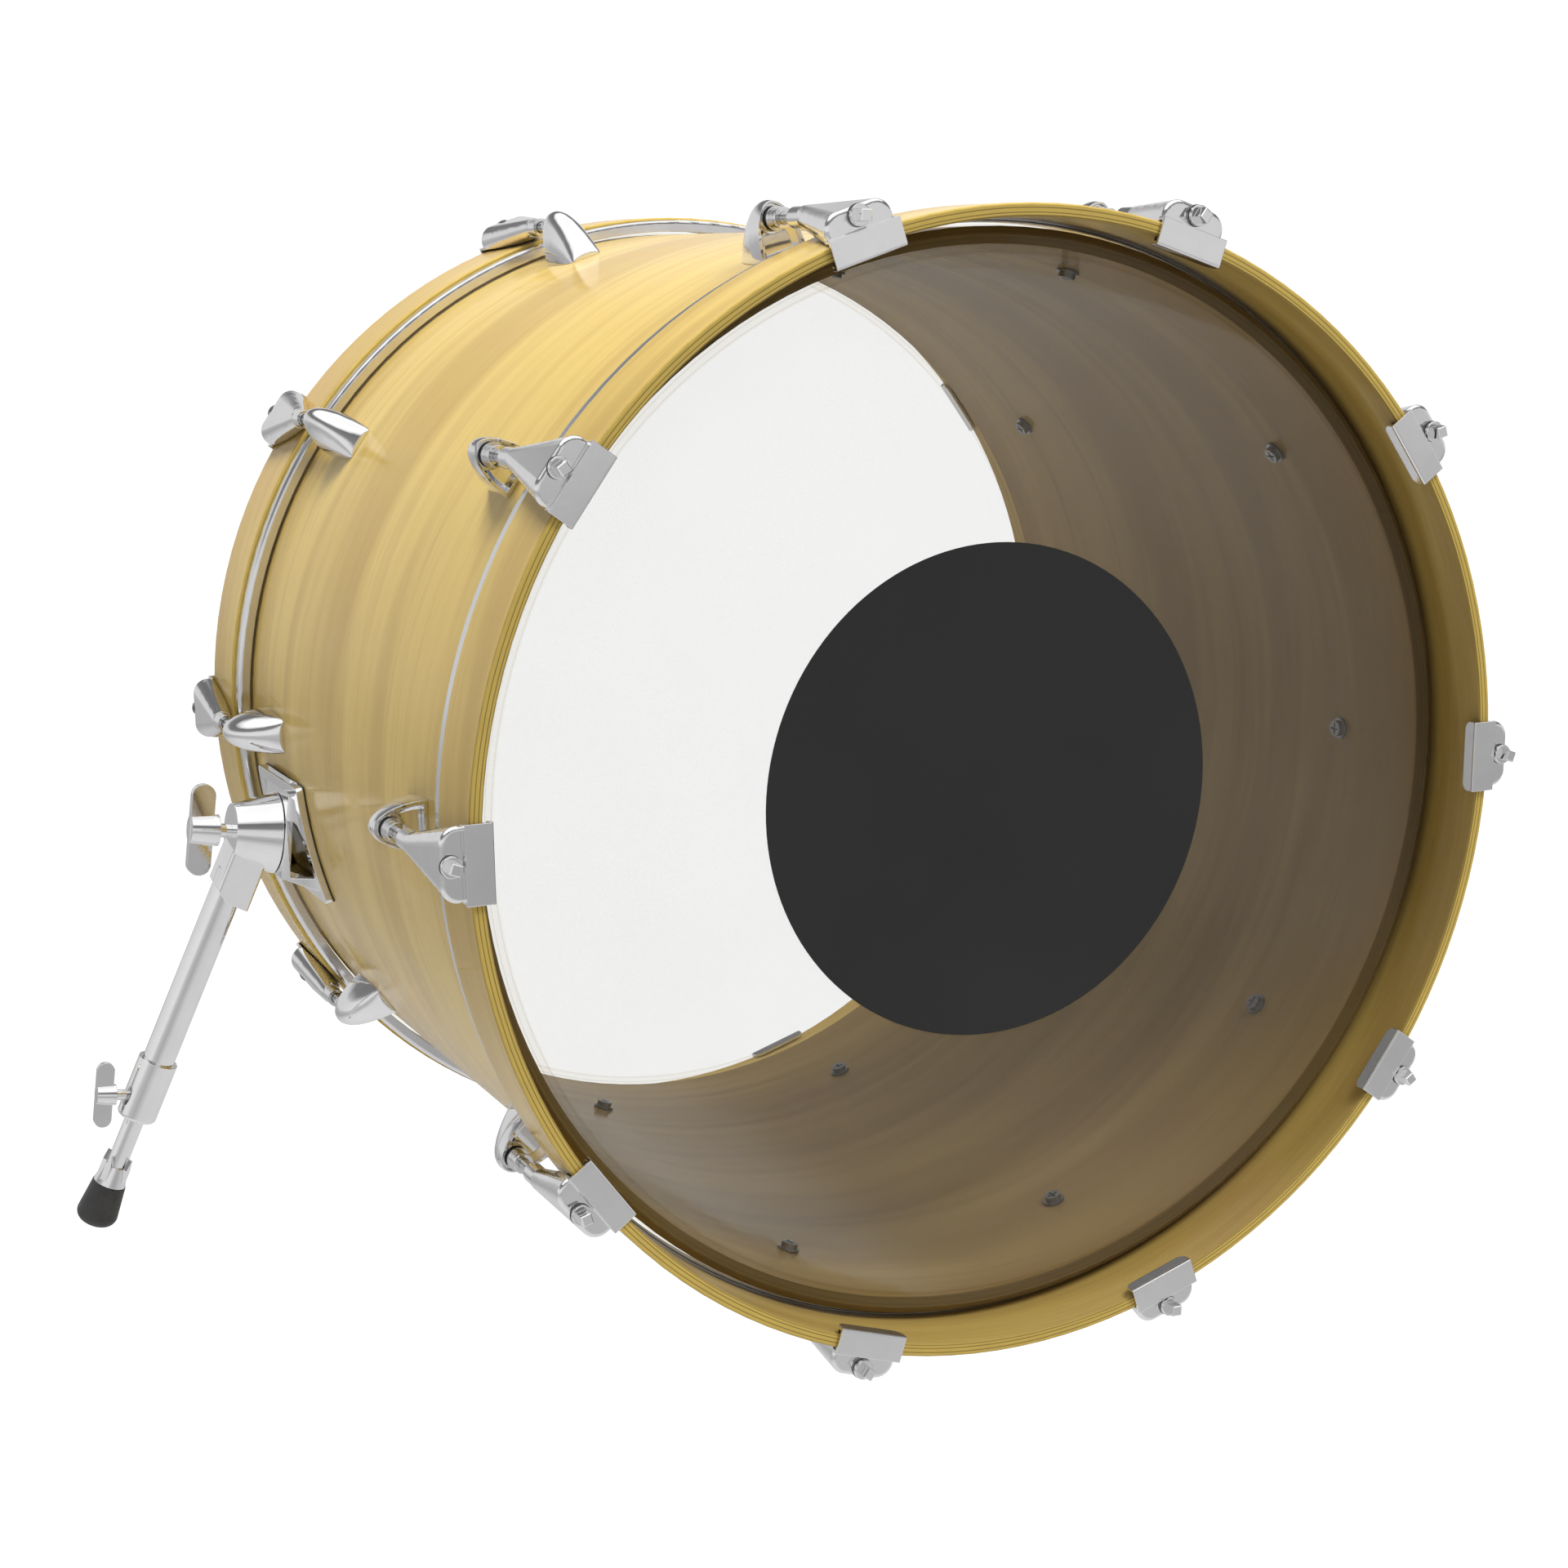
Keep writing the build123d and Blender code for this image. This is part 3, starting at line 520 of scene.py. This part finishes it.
# Soft fill: brightest overhead and from behind the drum. Each lobe is direction, power, strength.
FILL_BASE = 0.07
FILL_LOBES = (
    ((0, 0, 1), 1.0, 0.46),
    ((-1, 0.8, 0.1), 1.5, 0.03),
    ((0, 1, 0.3), 2.0, 0.14),
    ((1, 0, 0.1), 3.0, 0.06),
)
# What chrome mirrors, from straight down (-1) to straight up (1): pale floor, walls, a dark
# band, a softbox.
MIRRORED = (
    (-1.0, 0.90), (-0.50, 0.78), (-0.25, 0.47), (-0.10, 0.56), (0.0, 0.84), (0.25, 0.82),
    (0.38, 0.26), (0.60, 0.20), (0.68, 0.95), (0.78, 1.50), (1.0, 1.35),
)


def lobe(t, direction, power):
    """How squarely a direction faces the given one, from 0 to 1, raised to a power."""
    made = t.node("ShaderNodeVectorMath", operation="DOT_PRODUCT")
    t.put(made.inputs[0], t.place)
    made.inputs[1].default_value = Vector(direction).normalized()
    return t.math("POWER", t.math("MAXIMUM", made.outputs["Value"], 0.0), power)


def studio_light(world):
    """Fill for matt surfaces, softboxes for gloss, and bare white for the camera."""
    t = Tree(world, "Generated")
    level = FILL_BASE
    for direction, power, strength in FILL_LOBES:
        level = t.math("ADD", t.math("MULTIPLY", lobe(t, direction, power), strength), level)
    fill = t.shader("ShaderNodeBackground", Color=grey(1), Strength=level)
    ramp = t.node("ShaderNodeValToRGB")
    t.put(ramp.inputs[0], t.span(t.split()[2], -1.0, 1.0))
    stops = ramp.color_ramp.elements
    while len(stops) < len(MIRRORED):
        stops.new(0.5)
    for stop, (height, value) in zip(stops, MIRRORED):
        stop.position = (height + 1) / 2
        stop.color = (value, value * 0.99, value * 0.99, 1)
    leftward = t.math("MULTIPLY", lobe(t, (-1, -0.4, 0), 1.5), 0.16)
    strength = t.math("ADD", leftward, 0.88)
    shine = t.shader("ShaderNodeBackground", Color=ramp.outputs[0], Strength=strength)
    bare = t.shader("ShaderNodeBackground", Color=grey(1), Strength=WHITE)
    ray = t.node("ShaderNodeLightPath").outputs
    lit = t.mix_shaders(ray["Is Glossy Ray"], fill, shine)
    seen = t.mix_shaders(ray["Is Camera Ray"], lit, bare)
    return t.finished(seen, "ShaderNodeOutputWorld")


bpy.context.scene.world = studio_light(bpy.data.worlds.new("studio"))
bpy.context.scene.view_settings.view_transform = "Standard"
bpy.context.scene.view_settings.look = "None"

# ------------------------------------------------------------------ the camera
HEADING, DOWN, ROLL = -25.86, 13.88, -0.365  # degrees
cam_data = bpy.data.cameras.new("camera")
cam_data.sensor_width = 36.0
cam_data.lens = 60.35
cam_data.shift_x = -0.0282
cam_data.shift_y = 0.0795
cam_data.clip_start = 0.05
cam_data.clip_end = 60.0
cam = bpy.data.objects.new("camera", cam_data)
cam.location = (-0.6477, -1.3545, 0.5565)
turn = Matrix.Rotation(radians(HEADING), 3, "Z") @ Matrix.Rotation(radians(90.0 - DOWN), 3, "X")
cam.rotation_euler = (turn @ Matrix.Rotation(radians(ROLL), 3, "Z")).to_euler()
bpy.context.scene.collection.objects.link(cam)
bpy.context.scene.camera = cam
